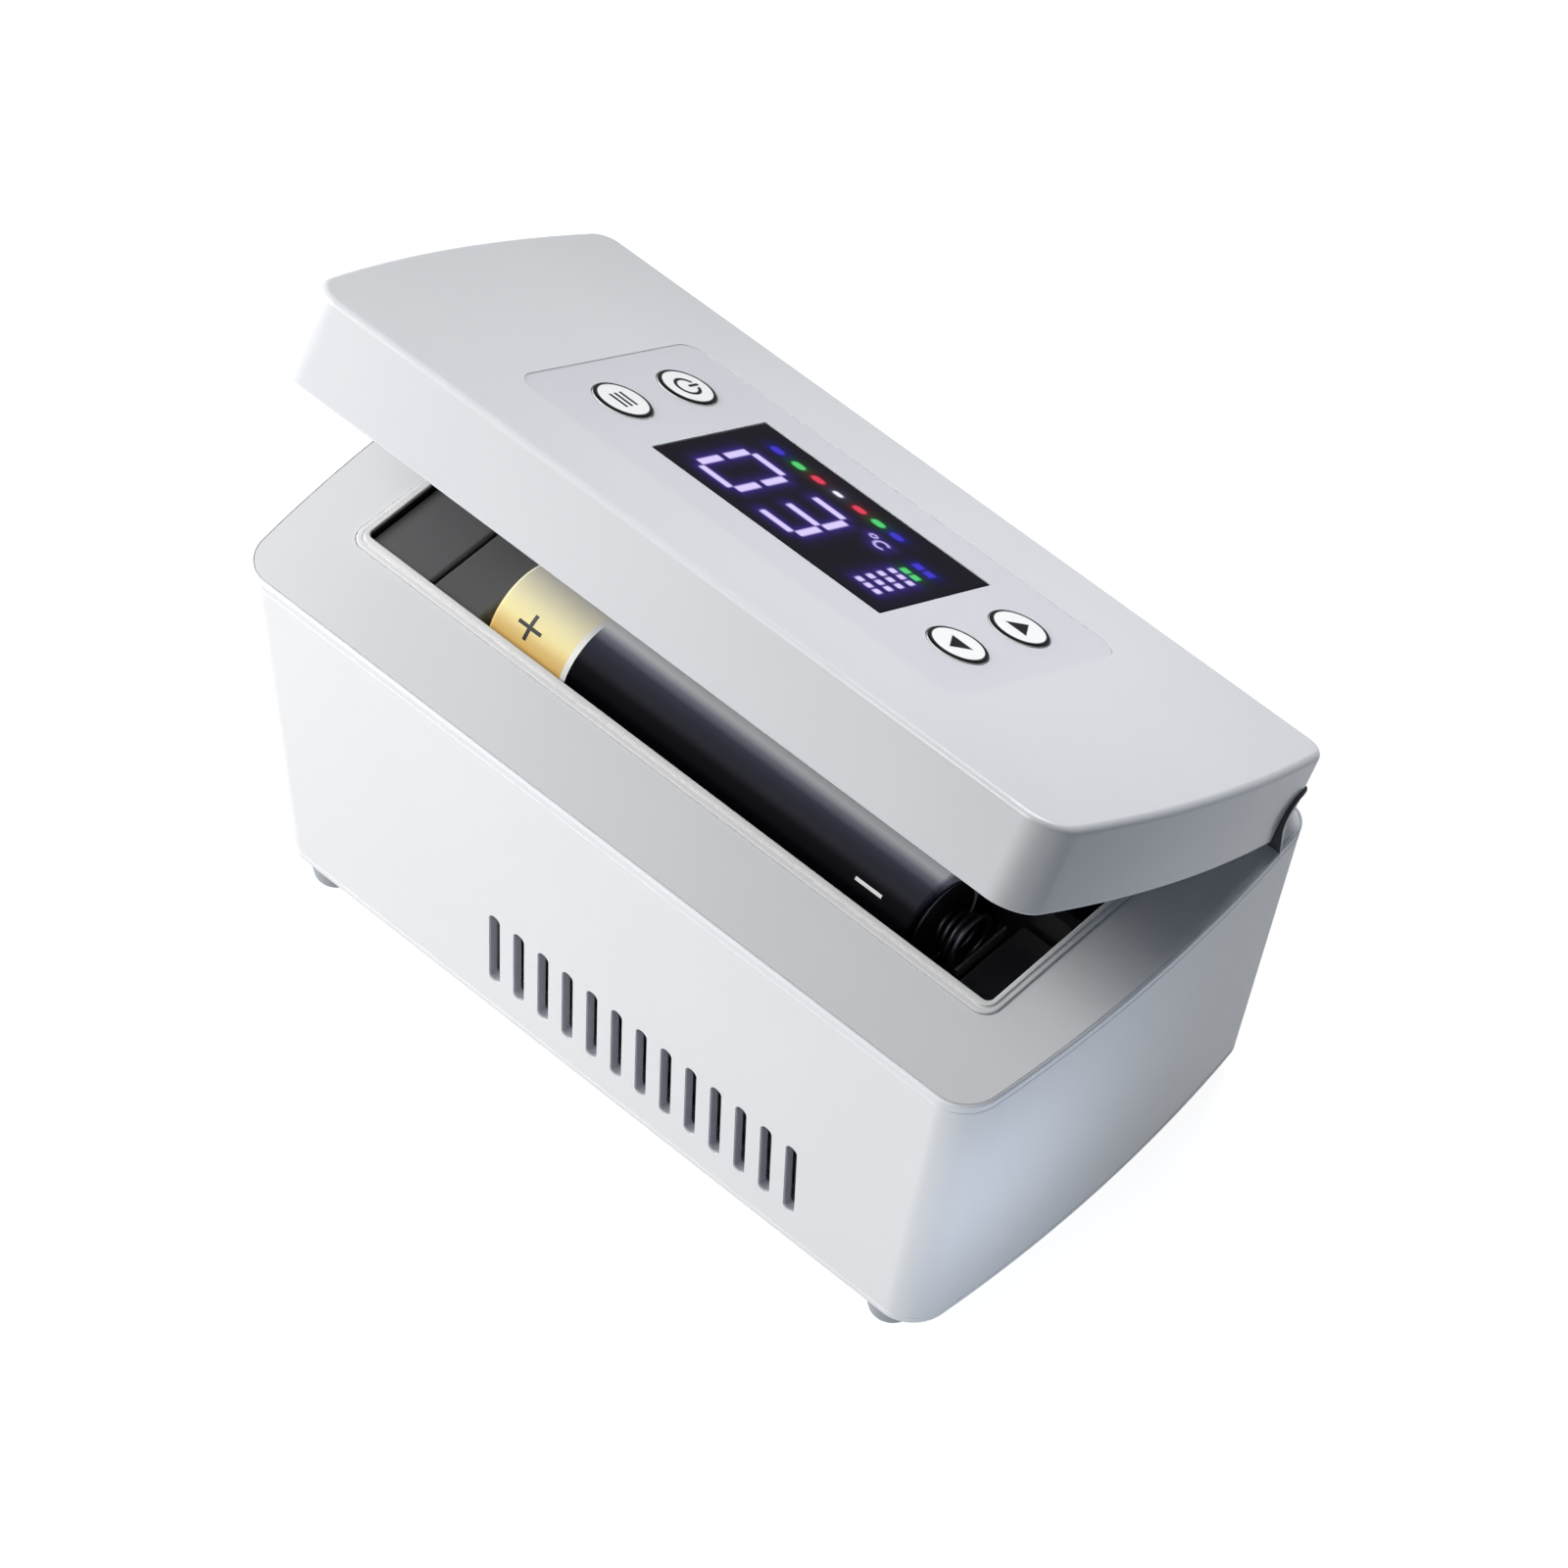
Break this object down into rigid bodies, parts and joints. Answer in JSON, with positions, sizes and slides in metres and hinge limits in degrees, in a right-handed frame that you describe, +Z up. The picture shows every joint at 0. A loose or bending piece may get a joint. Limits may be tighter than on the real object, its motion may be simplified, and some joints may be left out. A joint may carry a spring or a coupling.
{
  "type": "insulin cooling case",
  "caption": "Small thermoelectric cool box with a hinged lid, a control panel with display and keys, a battery lane, a pen tray, side vents and rubber feet.",
  "frame": {"origin": "on the table, under the middle of the whole object's box with the lid open as in the picture", "axes": "+X along the case towards its right end, -Y out of the front with the vent slots, +Z up"},
  "size_m": [0.2078, 0.1074, 0.1605],
  "materials": {
    "white_plastic": "moulded white ABS, satin to glossy",
    "deck_plastic": "moulded light grey ABS, satin",
    "lid_plastic": "moulded pale grey ABS, satin",
    "panel_film": "silver grey printed film, fine grain",
    "key_plastic": "moulded white keys with printed rings",
    "black_plastic": "moulded black ABS",
    "cover_plastic": "moulded dark grey ABS",
    "slate_plastic": "slate grey moulded screen",
    "window_glass": "smoked glossy acrylic window",
    "foot_rubber": "pale grey rubber",
    "seal_rubber": "dark seal",
    "foam": "pale insulation foam",
    "board_laminate": "green circuit board laminate",
    "cell_sleeve": "glossy shrink sleeve, gold band at the positive end",
    "ceramic": "white ceramic faces",
    "steel": "zinc plated steel",
    "nickel": "nickel plated sheet and wire",
    "aluminium": "plain anodised aluminium"
  },
  "bodies": {
    "case": {"outer_housing": "white_plastic", "base_tray": "white_plastic", "foot_front_left": "foot_rubber", "foot_front_right": "foot_rubber", "foot_rear_left": "foot_rubber", "foot_rear_right": "foot_rubber", "base_screw_1": "steel", "base_screw_2": "steel", "base_screw_3": "steel", "base_screw_4": "steel", "top_deck": "deck_plastic", "hinge_pin_left": "steel", "hinge_pin_right": "steel", "compartment_trim": "white_plastic", "well_liner": "black_plastic", "vent_baffle_front": "slate_plastic", "vent_baffle_rear": "slate_plastic", "pen_tray": "aluminium", "insulation_foam": "foam", "cold_block": "aluminium", "peltier_module": "ceramic", "heat_sink": "aluminium", "fan_frame": "black_plastic", "main_board": "board_laminate", "dc_jack": "black_plastic", "capacitor_large": "black_plastic", "capacitor_small": "black_plastic", "inductor": "cover_plastic", "buzzer": "black_plastic", "battery_cell": "cell_sleeve", "battery_positive_cap": "nickel", "battery_negative_cap": "nickel", "terminal_cover": "cover_plastic", "contact_block": "cover_plastic", "positive_contact": "nickel", "negative_spring": "nickel", "negative_contact": "nickel", "negative_contact_block": "black_plastic"},
    "lid": {"lid_shell": "lid_plastic", "control_panel": "panel_film", "display_window": "window_glass", "display_board": "board_laminate", "digit_module": "black_plastic", "lid_liner": "black_plastic", "lid_foam": "foam", "lid_gasket": "seal_rubber", "tact_switch_1": "black_plastic", "tact_switch_2": "black_plastic", "tact_switch_3": "black_plastic", "tact_switch_4": "black_plastic", "lid_screw_1": "steel", "lid_screw_2": "steel", "lid_screw_3": "steel", "lid_screw_4": "steel"},
    "set_key": {"key_set": "key_plastic"},
    "power_key": {"key_power": "key_plastic"},
    "right_key": {"key_right": "key_plastic"},
    "left_key": {"key_left": "key_plastic"},
    "rotor": {"fan_rotor": "black_plastic"}
  },
  "joints": [
    {"name": "lid_hinge", "type": "hinge", "parent": "case", "child": "lid", "pos_m": [0, 0.04407, 0.0975], "axis": [-1, 0, 0], "range_deg": [-31.5, 53.5]},
    {"name": "press_set", "type": "slide", "parent": "lid", "child": "set_key", "axis": [0, -0.5225, -0.8526], "range_m": [0, 0.0006], "stiffness_N_per_m": 800, "springref_m": -0.0005},
    {"name": "press_power", "type": "slide", "parent": "lid", "child": "power_key", "axis": [0, -0.5225, -0.8526], "range_m": [0, 0.0006], "stiffness_N_per_m": 800, "springref_m": -0.0005},
    {"name": "press_right", "type": "slide", "parent": "lid", "child": "right_key", "axis": [0, -0.5225, -0.8526], "range_m": [0, 0.0006], "stiffness_N_per_m": 800, "springref_m": -0.0005},
    {"name": "press_left", "type": "slide", "parent": "lid", "child": "left_key", "axis": [0, -0.5225, -0.8526], "range_m": [0, 0.0006], "stiffness_N_per_m": 800, "springref_m": -0.0005},
    {"name": "fan_spin", "type": "hinge", "parent": "case", "child": "rotor", "pos_m": [0.015, -0.00193, 0.015], "axis": [0, 0, 1], "continuous": true}
  ]
}
